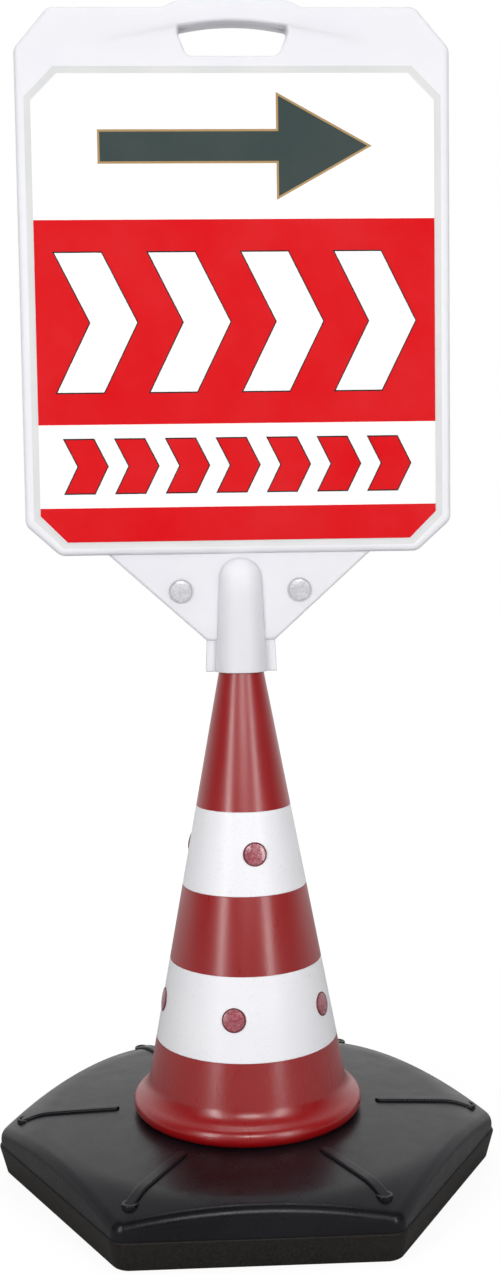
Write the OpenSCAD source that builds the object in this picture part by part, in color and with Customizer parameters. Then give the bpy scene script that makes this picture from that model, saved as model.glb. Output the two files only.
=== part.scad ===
// Advertising cone: a weighted hexagonal base, a hollow traffic cone with two white sleeves,
// and a double-sided sign whose socket drops over a swivel plug in the cone's tip.
// Millimetres, +Z up, origin on the floor under the cone's axis, sign facing -Y.

/* [Base] */
// Width across the flats at the floor
base_w = 400; // [340:1:460]
// How far each wall leans out between the floor and the parting line
base_draft = 5.5; // [0:0.5:8]
// Rounding of the six upright corners
base_corner_r = 16; // [14:1:30]
// Height of the tray, up to the parting line
tray_h = 27; // [20:1:34]
// Wall of the tray and the cover
base_wall = 4; // [3:0.5:5]
// Depth of the hollow under the tray, inside its standing rim
foot_hollow = 2; // [1:0.5:4]
// Width of the standing rim
foot_rim_w = 16; // [8:1:40]
// Step of the cover's wall in from the tray's rim
cover_inset = 1.5; // [0.5:0.5:3]
// Height of the cover's shoulder above the parting line, at the middle of a side
shoulder_rise = 24.5; // [20:0.5:28]
// Rounding of the dome's shoulder
shoulder_r = 8; // [4:1:11]
// Height of the cone's flat seat above the shoulder
dome_rise = 6.5; // [4:0.5:10]
// Radius of the dome's crown round the seat
crown_r = 4000; // [3000:100:6000]
// Radius of the dome outside the crown, where it falls to the corners
fall_r = 600; // [500:10:800]
// Radius of the dome's brow between the crown and the fall
brow_r = 1050; // [900:10:1400]
// Depth that the brow takes off the edge between them
brow_cut = 0.8; // [0.4:0.1:1.2]
// Width of a raised radial rib
rib_w = 10; // [6:1:16]
// Height of a rib above the dome
rib_rise = 3; // [2:0.5:4.5]
// Gap between the cone's foot and the ribs
rib_gap = 14; // [6:1:30]
// Distance of the cover screws from the cover's corners
cover_screw_inset = 22.5; // [18:0.5:40]
// How far the ballast block stands above the parting line
ballast_over = 5; // [-6:0.5:6]

/* [Cone] */
// Height of the cone above its seat
cone_h = 447; // [380:1:560]
// Radius at the tip
tip_r = 14.4; // [14:0.1:20]
// Radius where the foot begins to flare
foot_r = 91; // [75:0.5:96]
// Height of that place above the seat
foot_h = 37; // [25:1:60]
// Wall of the cone
cone_wall = 4; // [3.5:0.5:6]
// How far the bead stands out from the straight side's foot
flange_out = 9.5; // [8:0.5:14]
// Rounding of the bead
bead_r = 9; // [6:0.5:10]
// Radius of the hollow flare above the bead
flare_r = 20; // [14:1:50]
// Length of the thick neck at the tip
neck_h = 42; // [38:1:60]
// Radius of the bore in the neck
neck_bore_r = 10; // [7:0.5:11]
// Number of screws under the foot
cone_screw_count = 6; // [3:1:10]
// Depth of those screws in the foot
cone_pilot = 10; // [6:0.5:12]
// Height of the ring on the cover that centres the cone
spigot_h = 8; // [4:0.5:14]
// Width of the ledge inside that ring
spigot_ledge = 8; // [4:1:30]

/* [Sleeves and reflectors] */
// Height of each sleeve
sleeve_h = 74.5; // [50:0.5:90]
// Thickness of a sleeve
sleeve_t = 0.8; // [0.5:0.1:1.2]
// Start of the lower sleeve above the seat
lower_sleeve_z = 70; // [55:1:90]
// Start of the upper sleeve above the seat
upper_sleeve_z = 214; // [190:1:240]
// Number of reflectors on the lower sleeve
lower_count = 5; // [1:1:6]
// Number of reflectors on the upper sleeve
upper_count = 3; // [1:1:5]
// Direction of the first lower reflector from the front
lower_angle = -10.5; // [-60:0.5:60]
// Direction of the first upper reflector from the front
upper_angle = 9; // [-60:0.5:60]
// Radius of a reflector
reflector_r = 11; // [8:0.5:12]
// Height of a reflector's cup
cup_h = 3.2; // [2.4:0.1:4]
// Wall of a reflector's cup
cup_wall = 1.3; // [0.8:0.1:2]
// Floor of a reflector's cup
cup_floor = 1.1; // [0.8:0.1:1.6]
// Radius of a cup's stem
stem_r = 2.4; // [1.8:0.1:3]
// How far the stem's barb stands out
barb_out = 0.6; // [0.2:0.1:1]
// Length of the barb
barb_h = 1.8; // [1:0.1:2]
// Rise of a lens above its cup
lens_rise = 0.8; // [0.3:0.1:1.5]

/* [Sign] */
// Width of the panel
panel_w = 389; // [320:1:460]
// Height of the panel
panel_h = 486; // [420:1:560]
// Thickness of the panel, both halves together
panel_t = 25; // [22:0.5:34]
// Wall of the sign's halves
shell_wall = 3; // [2:0.5:3.5]
// Width of the corner cuts
corner_cut_w = 31; // [20:1:45]
// Height of the corner cuts at the top
corner_cut_top = 36; // [20:1:50]
// Height of the corner cuts at the bottom
corner_cut_bottom = 28; // [20:1:45]
// Rounding of the panel's outline
panel_corner_r = 10; // [6:0.5:14]
// Rounding of the panel's edges
panel_edge_r = 5; // [2:0.5:6]
// Margin of the panel beside the poster window
window_side = 13.5; // [13:0.5:30]
// Margin of the panel above the window
window_head = 57.5; // [56:0.5:70]
// Margin of the panel under the window
window_foot = 11.5; // [11:0.5:30]
// Corner cut of the poster window
window_cut = 24; // [12:1:36]
// Depth of the poster window
window_depth = 2; // [1.2:0.1:3]
// Width of the bevel round the window
window_bevel = 5.5; // [2:0.5:6]
// Thickness of a poster
poster_t = 0.8; // [0.4:0.1:1.1]
// Width of the raised handle along the top edge
handle_w = 122; // [114:1:160]
// Rise of the handle above the top edge
handle_rise = 8; // [4:0.5:14]
// Rounding of the handle's ends
handle_end_r = 30; // [20:1:40]
// How far the handle's middle stands above its ends
handle_crown = 2; // [0:0.5:3]
// Depth of the bar above the hand slot
handle_bar = 20.5; // [16:0.5:26]
// Width of the hand slot at its top
slot_w = 104; // [90:1:108]
// Width of the hand slot at its bottom
slot_foot_w = 80; // [60:1:90]
// Height of the hand slot
slot_h = 30.5; // [26:0.5:34]
// Radius of the slot's crowned top
slot_crown_r = 220; // [120:5:400]
// Rounding of the slot's corners
slot_corner_r = 7; // [3:0.5:10]
// Flare of the slot's rim
slot_rim = 3; // [1:0.5:4]
// Rows of screws that join the two halves
shell_screw_rows = 3; // [2:1:6]

/* [Socket] */
// Depth of the socket, from its mouth to its seat
socket_depth = 74; // [66:1:79]
// Gap round the cone at the mouth
socket_gap = 0.8; // [0.4:0.1:2]
// How far the tube narrows towards its top
socket_taper = 3.4; // [1:0.1:5]
// Length of the tapered tube, up to its round end
socket_h = 86; // [84:1:94]
// How far the socket's mouth hangs below the cone's tip
socket_lap = 34; // [24:1:36]
// Height of the panel above the socket's mouth
panel_lift = 109; // [104:1:130]
// Width of the gusset under the panel
gusset_w = 240; // [200:1:300]
// How far the gusset's foot stands out from the tube
gusset_foot = 7.4; // [5.5:0.1:12]
// Height of the gusset's foot above the socket's mouth
gusset_lift = 29; // [19:1:36]
// Thickness of the gusset, both halves together
gusset_t = 16; // [14:0.5:20]
// Rounding of the gusset's outline
gusset_corner_r = 6; // [5:0.5:10]
// Rounding of the gusset's edges
gusset_edge_r = 3; // [1:0.5:4]
// How far the side fins stand out from the tube at its mouth
fin_out = 8.4; // [5:0.1:14]
// Thickness of the side fins, both halves together
fin_t = 10; // [6:0.5:14]
// Distance of the sign's reflectors from the axis
sign_reflector_x = 54.5; // [48:0.5:62]
// Height of the sign's reflectors above the socket's mouth
sign_reflector_z = 75; // [72:0.5:82]
// Thickness of the key that turns the plug with the sign
key_t = 6; // [4:0.5:10]
// Depth of the key's slot in the plug
key_h = 12; // [8:0.5:20]

/* [Fasteners and fits] */
// Radius of the screws' shanks
shank_r = 2; // [1.5:0.1:2.4]
// Radius of the screws' heads
head_r = 4; // [3:0.1:4.6]
// Height of the screws' heads
head_h = 2.2; // [1.5:0.1:2.4]
// Wall round a screw
boss_wall = 3.2; // [2.5:0.1:4]
// Gap of pieces that sit in a pocket
fit = 0.3; // [0.2:0.05:0.5]
// Gap of a screw in its pilot and of the plug in the neck
run_fit = 0.05; // [0.03:0.01:0.1]

/* [Hidden] */

$fn = 96;
hull_fn = 32;
dome_fn = 720;
eps = 0.01;
past = 1;
crease = 0.15;

black = [0.16, 0.15, 0.16];
red = [0.66, 0.09, 0.11];
white = [0.93, 0.93, 0.95];
lens_red = [0.6, 0.16, 0.2];
lens_grey = [0.8, 0.8, 0.82];
steel = [0.6, 0.6, 0.62];
concrete = [0.6, 0.58, 0.55];
print_red = [0.89, 0.12, 0.14];

// Cone
slope = (foot_r - tip_r) / (cone_h - foot_h);
lean = atan(slope);
cone_in = cone_wall / cos(lean);
flange_r = cone_r(0) + flange_out;
spigot_r = cone_r(spigot_h) - cone_in - fit;
recess = sleeve_t + fit / 2;

// Bead at the edge of the foot, and the hollow flare that meets it and the straight side
bead_at = [flange_r - bead_r, bead_r];
cone_screw_r = bead_at.x - shank_r / 2;
side_out = [cos(lean), sin(lean)];
side_up = [-slope, 1];
flare_from = [cone_r(0), 0] + flare_r * side_out;
flare_b = side_up * (flare_from - bead_at);
flare_c = norm(flare_from - bead_at) ^ 2 - (flare_r + bead_r) ^ 2;
flare_a = side_up * side_up;
flare_z = (-flare_b + sqrt(flare_b ^ 2 - flare_a * flare_c)) / flare_a;
flare_at = flare_from + flare_z * side_up;
flare_end = bead_at + (flare_at - bead_at) * bead_r / (flare_r + bead_r);

// Base
sides = 6;
half_turn = 180 / sides;
floor_a = base_w / 2;
rim_a = floor_a + base_draft;
cover_a = rim_a - cover_inset;
cover_corner_r = base_corner_r - cover_inset;
floor_z = foot_hollow + base_wall;
cover_in_a = cover_a - base_wall;
cover_reach = (cover_a - cover_corner_r) / cos(half_turn) + cover_corner_r;
cover_screw_r = cover_reach - cover_screw_inset;
shoulder_h = tray_h + shoulder_rise;
seat_h = shoulder_h + dome_rise;
ballast_h = tray_h + ballast_over - floor_z;
seat_r = flange_r + cover_inset;
crown_z = seat_h - sqrt(crown_r ^ 2 - seat_r ^ 2);
fall_z = shoulder_h - sqrt(fall_r ^ 2 - cover_a ^ 2);
edge_z = (crown_z ^ 2 - fall_z ^ 2 + fall_r ^ 2 - crown_r ^ 2) / (2 * (crown_z - fall_z));
edge_r = sqrt(fall_r ^ 2 - (edge_z - fall_z) ^ 2);
brow_z = edge_z - brow_cut - sqrt(brow_r ^ 2 - edge_r ^ 2);
ceiling_z = seat_h - base_wall;
tip_z = seat_h + cone_h;
rib_in_r = flange_r + rib_gap;
boss_r = head_r + boss_wall;
post_r = shank_r + boss_wall;
screw_boss_top = dome_top(cover_screw_r) + rib_rise / 2;
screw_seat_z = screw_boss_top - head_h;

// Reflectors
lens_r = reflector_r - cup_wall;
barb_r = stem_r + barb_out;
spot_depth = reflector_r ^ 2 / (2 * cone_r(upper_sleeve_z + sleeve_h)) + fit;
wall_at_spot = cone_wall - recess - spot_depth;

// Sign, drawn lying on its back: X across, Y up from the socket's mouth, Z out of the joint face
half_t = panel_t / 2;
panel_top = panel_lift + panel_h;
window_w = panel_w - 2 * window_side;
window_h = panel_h - window_head - window_foot;
window_lift = panel_lift + window_foot;
window_floor = half_t - window_depth;
pocket_t = window_floor - shell_wall;
handle_end_rise = handle_rise - handle_crown;
handle_end_x = handle_w / 2 - sqrt(handle_end_r ^ 2 - (handle_end_r - handle_end_rise) ^ 2);
slot_top = panel_top + handle_rise - handle_bar;
socket_mouth_r = cone_r(cone_h - socket_lap) + socket_gap + shell_wall;
socket_top_r = socket_mouth_r - socket_taper;
fin_w = 2 * (socket_mouth_r + fin_out);
gusset_foot_w = 2 * (socket_r(gusset_lift) + gusset_foot);
gusset_half_t = gusset_t / 2;
gusset_pocket_t = gusset_half_t - shell_wall;
gusset_run = (gusset_w - gusset_foot_w) / 2;
gusset_rise = panel_lift - gusset_lift;
gusset_side = shell_wall * norm([gusset_run, gusset_rise]) / gusset_rise;
sign_spot = shell_wall / 2;
mouth_z = tip_z - socket_lap;
shell_screw_x = window_w / 2 - window_cut - boss_r;
shell_screw_margin = window_cut + boss_r;
shell_screw_pitch = (window_h - 2 * shell_screw_margin) / (shell_screw_rows - 1);
shell_pilot = pocket_t - boss_wall / 2;

// Height of the dome at a distance from the axis
function dome_top(r) = min(crown_z + sqrt(crown_r ^ 2 - r ^ 2), brow_z + sqrt(brow_r ^ 2 - r ^ 2),
                           fall_z + sqrt(fall_r ^ 2 - r ^ 2));

// Radius of the cone's straight side at a height above its seat
function cone_r(z) = tip_r + slope * (cone_h - z);

// Outer radius of the socket at a height above its mouth
function socket_r(y) = socket_mouth_r + (socket_top_r - socket_mouth_r) * y / socket_h;

// Octagon on the line Y = 0 with cut corners, drawn in by inset
function octagon(w, h, cut_w, cut_top, cut_bottom, inset = 0) =
    let (x = w / 2 - inset,
         top = cut_top * w / 2 + cut_w * (h - cut_top) - inset * norm([cut_top, cut_w]),
         bottom = cut_bottom * (w / 2 - cut_w) - inset * norm([cut_bottom, cut_w]),
         x_top = (top - cut_w * (h - inset)) / cut_top,
         x_bottom = (bottom + cut_w * inset) / cut_bottom,
         y_top = (top - cut_top * x) / cut_w,
         y_bottom = (cut_bottom * x - bottom) / cut_w)
    [[x_bottom, inset], [x, y_bottom], [x, y_top], [x_top, h - inset],
     [-x_top, h - inset], [-x, y_top], [-x, y_bottom], [-x_bottom, inset]];

function panel_points(inset) =
    octagon(panel_w, panel_h, corner_cut_w, corner_cut_top, corner_cut_bottom, inset);

function window_points(inset) =
    octagon(window_w, window_h, window_cut, window_cut, window_cut, inset);

// Places the children at the base's six corners
module at_corners(r) {
    for (k = [0 : sides - 1])
        rotate(k * 360 / sides) translate([r, 0, 0]) children();
}

// Hexagon with round corners, corners on the X axis
module hexagon(apothem, r) {
    offset(r, $fn = hull_fn) circle((apothem - r) / cos(half_turn), $fn = sides);
}

// Hexagonal block whose walls lean from one apothem to another
module drafted_hexagon(low, high, r, h) {
    hull() {
        at_corners((low - r) / cos(half_turn)) cylinder(r = r, h = eps, $fn = hull_fn);
        translate([0, 0, h - eps])
            at_corners((high - r) / cos(half_turn)) cylinder(r = r, h = eps, $fn = hull_fn);
    }
}

// Screw standing on its head's seat at Z = 0, shank down
module screw(length) {
    cylinder(r = head_r, h = head_h);
    translate([0, 0, -length]) cylinder(r = shank_r, h = length);
}

module base_tray() {
    color(black) {
        difference() {
            drafted_hexagon(floor_a, rim_a, base_corner_r, tray_h);
            translate([0, 0, floor_z])
                drafted_hexagon(floor_a - base_wall, rim_a - base_wall,
                                base_corner_r - base_wall, tray_h - floor_z + past);
            translate([0, 0, -past]) linear_extrude(foot_hollow + past)
                hexagon(floor_a - foot_rim_w, base_corner_r - base_wall);
        }
        at_corners(cover_screw_r) difference() {
            translate([0, 0, floor_z - base_wall / 2])
                cylinder(r = post_r, h = tray_h - floor_z + base_wall / 2);
            translate([0, 0, floor_z]) cylinder(r = shank_r + run_fit, h = tray_h);
        }
    }
}

// Dome turned about the axis between two heights, with its skin taken off by a depth
module dome(low, high, depth) {
    rotate_extrude() intersection() {
        translate([0, crown_z]) circle(crown_r - depth, $fn = dome_fn);
        translate([0, brow_z]) circle(brow_r - depth, $fn = dome_fn);
        translate([0, fall_z]) circle(fall_r - depth, $fn = dome_fn);
        translate([0, low]) square([base_w, high - low]);
    }
}

// Rounds the shoulder along one side: a ring about the line from the fall's centre to that side
module shoulder_cut() {
    from_side = cover_a - shoulder_r;
    from_centre = sqrt((fall_r - shoulder_r) ^ 2 - from_side ^ 2);
    translate([0, 0, fall_z]) rotate([0, 90, 0]) rotate(180 - half_turn / 2)
        rotate_extrude(angle = half_turn) translate([from_centre, from_side]) difference() {
            square(shoulder_r + past);
            translate([0, crease]) circle(shoulder_r);
        }
}

// Domed block over the whole base, before it is hollowed
module dome_blank() {
    difference() {
        intersection() {
            translate([0, 0, tray_h - past]) linear_extrude(seat_h) hexagon(cover_a, cover_corner_r);
            dome(tray_h, seat_h, 0);
        }
        for (k = [0 : sides - 1]) rotate((k + 0.5) * 360 / sides) shoulder_cut();
    }
}

// Raised ribs that follow the dome down to the screws
module dome_ribs() {
    intersection() {
        dome(tray_h, seat_h + rib_rise, -rib_rise);
        translate([0, 0, tray_h]) linear_extrude(seat_h) at_corners(rib_in_r) {
            circle(d = rib_w);
            translate([0, -rib_w / 2]) square([cover_screw_r - rib_in_r, rib_w]);
        }
    }
}

module base_cover() {
    color(black) difference() {
        union() {
            difference() {
                union() {
                    dome_blank();
                    dome_ribs();
                }
                intersection() {
                    linear_extrude(seat_h) hexagon(cover_in_a, cover_corner_r - base_wall);
                    dome(tray_h - past, ceiling_z, base_wall);
                }
            }
            at_corners(cover_screw_r) translate([0, 0, tray_h])
                cylinder(r = boss_r, h = screw_boss_top - tray_h);
            translate([0, 0, ceiling_z]) difference() {
                cylinder(r = spigot_r, h = spigot_h + base_wall);
                translate([0, 0, -past])
                    cylinder(r = spigot_r - base_wall, h = spigot_h + base_wall + past * 2);
            }
        }
        at_corners(cover_screw_r) {
            cylinder(r = shank_r + run_fit, h = seat_h * 2);
            translate([0, 0, screw_seat_z]) cylinder(r = head_r + fit, h = seat_h);
        }
        at_cone_screws() cylinder(r = shank_r + run_fit, h = seat_h * 2);
        cylinder(r = spigot_r - base_wall - spigot_ledge, h = seat_h * 2);
    }
}

module ballast_block() {
    color(concrete) translate([0, 0, floor_z]) linear_extrude(ballast_h) difference() {
        hexagon(floor_a - base_wall - fit, base_corner_r - base_wall);
        at_corners(cover_screw_r) circle(boss_r + fit);
    }
}

module cover_screws() {
    color(steel) at_corners(cover_screw_r) translate([0, 0, screw_seat_z])
        screw(screw_seat_z - floor_z - base_wall);
}

module at_cone_screws() {
    for (k = [0 : cone_screw_count - 1])
        rotate((k + 0.5) * 360 / cone_screw_count) translate([cone_screw_r, 0, 0]) children();
}

// Bead at the edge of the foot with the hollow flare above it
module cone_outline() {
    difference() {
        polygon([[0, 0], [cone_r(0), 0], [bead_at.x, 0], bead_at, flare_end,
                 [cone_r(flare_z), flare_z], [tip_r, cone_h], [0, cone_h]]);
        translate(flare_at) circle(flare_r);
    }
    translate(bead_at) circle(bead_r);
}

// Band of the cone's skin, from its straight side inwards
module skin_band(z, h, depth) {
    polygon([[cone_r(z) - depth, z], [cone_r(z) + past, z],
             [cone_r(z + h) + past, z + h], [cone_r(z + h) - depth, z + h]]);
}

// Places the children on the bed of a sleeve, Z out of the cone, Z = 0 on a reflector's seat
module at_reflectors(sleeve_z, count, angle) {
    z = sleeve_z + sleeve_h / 2;
    for (k = [0 : count - 1])
        rotate(angle - 90 + k * 360 / count) translate([cone_r(z), 0, seat_h + z])
            rotate([0, 90 - lean, 0]) translate([0, 0, -recess / cos(lean) - spot_depth]) children();
}

module at_lower_reflectors() {
    at_reflectors(lower_sleeve_z, lower_count, lower_angle) children();
}

module at_upper_reflectors() {
    at_reflectors(upper_sleeve_z, upper_count, upper_angle) children();
}

// Pocket of a reflector with the hole for its stem
module reflector_pocket() {
    cylinder(r = reflector_r + fit, h = spot_depth + cup_h);
    translate([0, 0, -cone_wall * 2]) cylinder(r = stem_r + fit / 2, h = cone_wall * 2 + past);
}

module cone_body() {
    color(red) difference() {
        translate([0, 0, seat_h]) rotate_extrude() difference() {
            cone_outline();
            polygon([[0, -past], [cone_r(-past) - cone_in, -past],
                     [cone_r(cone_h - neck_h) - cone_in, cone_h - neck_h], [0, cone_h - neck_h]]);
            square([neck_bore_r, cone_h + past]);
            skin_band(lower_sleeve_z, sleeve_h + fit, recess);
            skin_band(upper_sleeve_z, sleeve_h + fit, recess);
        }
        at_lower_reflectors() reflector_pocket();
        at_upper_reflectors() reflector_pocket();
        at_cone_screws() translate([0, 0, seat_h - past])
            cylinder(r = shank_r + run_fit, h = cone_pilot + past);
    }
}

module cone_screws() {
    color(steel) at_cone_screws() translate([0, 0, ceiling_z]) mirror([0, 0, 1])
        screw(base_wall + cone_pilot - past);
}

module sleeve(z) {
    translate([0, 0, seat_h]) rotate_extrude()
        polygon([[cone_r(z) - sleeve_t, z], [cone_r(z), z],
                 [cone_r(z + sleeve_h), z + sleeve_h], [cone_r(z + sleeve_h) - sleeve_t, z + sleeve_h]]);
}

module lower_sleeve() {
    color(white) difference() {
        sleeve(lower_sleeve_z);
        at_lower_reflectors() reflector_pocket();
    }
}

module upper_sleeve() {
    color(white) difference() {
        sleeve(upper_sleeve_z);
        at_upper_reflectors() reflector_pocket();
    }
}

// Cup of a reflector, seated at Z = 0, with a barbed stem through a wall of the given thickness
module reflector_cup(wall) {
    difference() {
        cylinder(r = reflector_r, h = cup_h);
        translate([0, 0, cup_floor]) cylinder(r = lens_r + fit / 2, h = cup_h);
    }
    translate([0, 0, -wall - fit]) cylinder(r = stem_r, h = wall + fit + cup_floor / 2);
    translate([0, 0, -wall - fit - barb_h]) cylinder(r1 = stem_r, r2 = barb_r, h = barb_h);
}

// Lens with a slightly crowned face
module reflector_lens() {
    crown_r = (lens_r ^ 2 + lens_rise ^ 2) / (2 * lens_rise);
    translate([0, 0, cup_floor]) rotate_extrude() intersection() {
        square([lens_r, cup_h - cup_floor + lens_rise]);
        translate([0, cup_h - cup_floor + lens_rise - crown_r]) circle(crown_r);
    }
}

module lower_reflector_cups() {
    color(red) at_lower_reflectors() reflector_cup(wall_at_spot);
}

module lower_reflector_lenses() {
    color(lens_red) at_lower_reflectors() reflector_lens();
}

module upper_reflector_cups() {
    color(red) at_upper_reflectors() reflector_cup(wall_at_spot);
}

module upper_reflector_lenses() {
    color(lens_red) at_upper_reflectors() reflector_lens();
}

module swivel_plug() {
    head_low_r = socket_r(socket_lap) - shell_wall - fit;
    head_top_r = socket_r(socket_depth) - shell_wall - fit;
    head_len = socket_depth - socket_lap;
    stem_len = neck_h - cone_wall;
    color(white) translate([0, 0, tip_z]) difference() {
        union() {
            translate([0, 0, -stem_len]) cylinder(r = neck_bore_r - run_fit, h = stem_len);
            cylinder(r1 = head_low_r, r2 = head_top_r, h = head_len);
        }
        translate([0, 0, -stem_len - past])
            cylinder(r = neck_bore_r - shell_wall, h = stem_len + past + head_len - key_h - shell_wall);
        translate([-head_low_r, -key_t / 2 - fit, head_len - key_h - fit])
            cube([head_low_r * 2, key_t + fit * 2, key_h * 2]);
    }
}

// Stands the flat drawing of a half up on the cone, facing the front or the back
module front_half() {
    translate([0, 0, mouth_z]) rotate([90, 0, 0]) children();
}

module rear_half() {
    rotate(180) front_half() children();
}

// Disc with one round edge, seated at Z = 0
module pebble(r, t, edge_r) {
    rotate_extrude() {
        square([r - edge_r, t]);
        square([r, t - edge_r]);
        intersection() {
            translate([r - edge_r, t - edge_r]) circle(edge_r);
            square([r, t]);
        }
    }
}

module panel_blank() {
    hull() for (p = panel_points(panel_corner_r))
        translate([p.x, panel_lift + p.y, 0])
            pebble(panel_corner_r, half_t, panel_edge_r, $fn = hull_fn);
}

// Raised handle along the top edge, slightly crowned
module handle_blank() {
    hull() for (end = [-1, 0, 1])
        translate([end * handle_end_x,
                   panel_top + handle_rise - handle_end_r - abs(end) * handle_crown, 0])
            pebble(handle_end_r, half_t, panel_edge_r, $fn = hull_fn * 2);
}

module gusset_blank() {
    hull() {
        for (side = [-1, 1]) {
            translate([side * (gusset_foot_w / 2 - gusset_corner_r), gusset_lift + gusset_corner_r, 0])
                pebble(gusset_corner_r, gusset_half_t, gusset_edge_r, $fn = hull_fn);
            translate([side * (gusset_w / 2 - gusset_corner_r), panel_lift + gusset_corner_r, 0])
                pebble(gusset_corner_r, gusset_half_t, gusset_edge_r, $fn = hull_fn);
        }
    }
}

module socket_blank() {
    intersection() {
        union() {
            rotate([-90, 0, 0]) cylinder(r1 = socket_mouth_r, r2 = socket_top_r, h = socket_h);
            translate([0, socket_h, 0]) sphere(socket_top_r);
        }
        translate([-panel_w / 2, -past, 0]) cube([panel_w, panel_lift * 2, panel_w]);
    }
    fin_top = gusset_lift + gusset_corner_r;
    linear_extrude(fin_t / 2) polygon([[-fin_w / 2, 0], [fin_w / 2, 0],
                                       [gusset_foot_w / 2, fin_top], [-gusset_foot_w / 2, fin_top]]);
}

// Outline of the hand slot, grown by rim
module slot_outline(rim) {
    offset(r = slot_corner_r + rim) offset(delta = -slot_corner_r) intersection() {
        polygon([[-slot_foot_w / 2, slot_top - slot_h], [slot_foot_w / 2, slot_top - slot_h],
                 [slot_w / 2, slot_top], [-slot_w / 2, slot_top]]);
        translate([0, slot_top - slot_crown_r]) circle(slot_crown_r, $fn = hull_fn * 4);
    }
}

module slot_cut() {
    translate([0, 0, -past]) linear_extrude(panel_t) slot_outline(0);
    hull() {
        translate([0, 0, half_t - slot_rim]) linear_extrude(eps) slot_outline(0);
        translate([0, 0, half_t]) linear_extrude(eps) slot_outline(slot_rim);
    }
}

// Places the children at the screws that join the two halves
module at_shell_screws() {
    for (side = [-1, 1], row = [0 : shell_screw_rows - 1])
        translate([side * shell_screw_x, window_lift + shell_screw_margin + row * shell_screw_pitch, 0])
            children();
}

// Hollows behind the window and in the gusset, leaving the slot's collar and the screw bosses
module shell_hollow() {
    translate([0, 0, -past]) linear_extrude(pocket_t + past) difference() {
        translate([0, panel_lift]) polygon(panel_points(shell_wall));
        slot_outline(shell_wall);
        at_shell_screws() circle(boss_r);
    }
    foot_x = gusset_foot_w / 2 - gusset_side;
    top_x = gusset_w / 2 - gusset_side;
    translate([0, 0, -past]) linear_extrude(gusset_pocket_t + past) difference() {
        polygon([[-foot_x, gusset_lift], [foot_x, gusset_lift], [top_x, panel_lift], [-top_x, panel_lift]]);
        translate([-socket_mouth_r - shell_wall, 0])
            square([(socket_mouth_r + shell_wall) * 2, panel_lift + past]);
    }
}

module at_sign_reflectors() {
    for (side = [-1, 1])
        translate([side * sign_reflector_x, sign_reflector_z, gusset_half_t - sign_spot]) children();
}

// One half of the sign without its screw holes
module sign_half() {
    difference() {
        union() {
            difference() {
                union() {
                    panel_blank();
                    handle_blank();
                    gusset_blank();
                    socket_blank();
                }
                shell_hollow();
                rotate([-90, 0, 0]) translate([0, 0, -past])
                    cylinder(r1 = socket_r(-past) - shell_wall, r2 = socket_r(socket_depth) - shell_wall,
                             h = socket_depth + past);
            }
            translate([-socket_r(socket_depth) + shell_wall / 2, socket_depth - key_h, 0])
                cube([socket_r(socket_depth) * 2 - shell_wall, key_h + past, key_t / 2]);
        }
        slot_cut();
        hull() {
            translate([0, window_lift, window_floor]) linear_extrude(eps) polygon(window_points(0));
            translate([0, window_lift, half_t]) linear_extrude(eps) polygon(window_points(-window_bevel));
        }
        at_sign_reflectors() reflector_pocket();
    }
}

module sign_front_shell() {
    color(white) front_half() difference() {
        sign_half();
        at_shell_screws() translate([0, 0, -past])
            cylinder(r = shank_r + run_fit, h = shell_pilot + past);
    }
}

module sign_rear_shell() {
    color(white) rear_half() difference() {
        sign_half();
        at_shell_screws() {
            translate([0, 0, -past]) cylinder(r = shank_r + run_fit, h = panel_t);
            translate([0, 0, window_floor - head_h - fit]) cylinder(r = head_r + fit, h = panel_t);
        }
    }
}

module shell_screws() {
    color(steel) rear_half() at_shell_screws() translate([0, 0, window_floor - head_h - fit])
        screw(window_floor - head_h - fit + shell_pilot - fit);
}

// Sheet that fills the window
module poster() {
    translate([0, window_lift, window_floor]) linear_extrude(poster_t) polygon(window_points(fit));
}

module front_poster() {
    color(print_red) front_half() poster();
}

module rear_poster() {
    color(print_red) rear_half() poster();
}

module front_reflector_cups() {
    color(lens_grey) front_half() at_sign_reflectors() reflector_cup(shell_wall - sign_spot);
}

module front_reflector_lenses() {
    color(lens_grey) front_half() at_sign_reflectors() reflector_lens();
}

module rear_reflector_cups() {
    color(lens_grey) rear_half() at_sign_reflectors() reflector_cup(shell_wall - sign_spot);
}

module rear_reflector_lenses() {
    color(lens_grey) rear_half() at_sign_reflectors() reflector_lens();
}

base_tray();
base_cover();
ballast_block();
cover_screws();
cone_body();
cone_screws();
lower_sleeve();
upper_sleeve();
lower_reflector_cups();
lower_reflector_lenses();
upper_reflector_cups();
upper_reflector_lenses();
swivel_plug();
sign_front_shell();
sign_rear_shell();
shell_screws();
front_poster();
rear_poster();
front_reflector_cups();
front_reflector_lenses();
rear_reflector_cups();
rear_reflector_lenses();
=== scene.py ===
import math

import bmesh
import bpy
from mathutils import Matrix, Vector


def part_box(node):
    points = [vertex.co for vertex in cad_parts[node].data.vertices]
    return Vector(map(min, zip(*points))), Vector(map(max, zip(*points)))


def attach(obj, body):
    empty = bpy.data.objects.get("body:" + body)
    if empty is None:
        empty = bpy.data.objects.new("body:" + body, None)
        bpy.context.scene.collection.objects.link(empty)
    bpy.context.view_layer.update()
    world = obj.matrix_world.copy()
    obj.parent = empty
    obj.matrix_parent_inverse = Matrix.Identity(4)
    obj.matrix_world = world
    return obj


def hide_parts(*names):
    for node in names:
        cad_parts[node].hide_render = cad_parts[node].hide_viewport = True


# Cone sign: a weighted hexagonal base, a red traffic cone with white sleeves, and a poster sign
# that turns on the cone's tip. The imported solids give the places. What shows is modelled again
# here with its rounded edges and finish. A piece is made in millimetres and scaled to metres when
# it is finished. The floor, the lamps and the camera are in metres.

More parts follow.
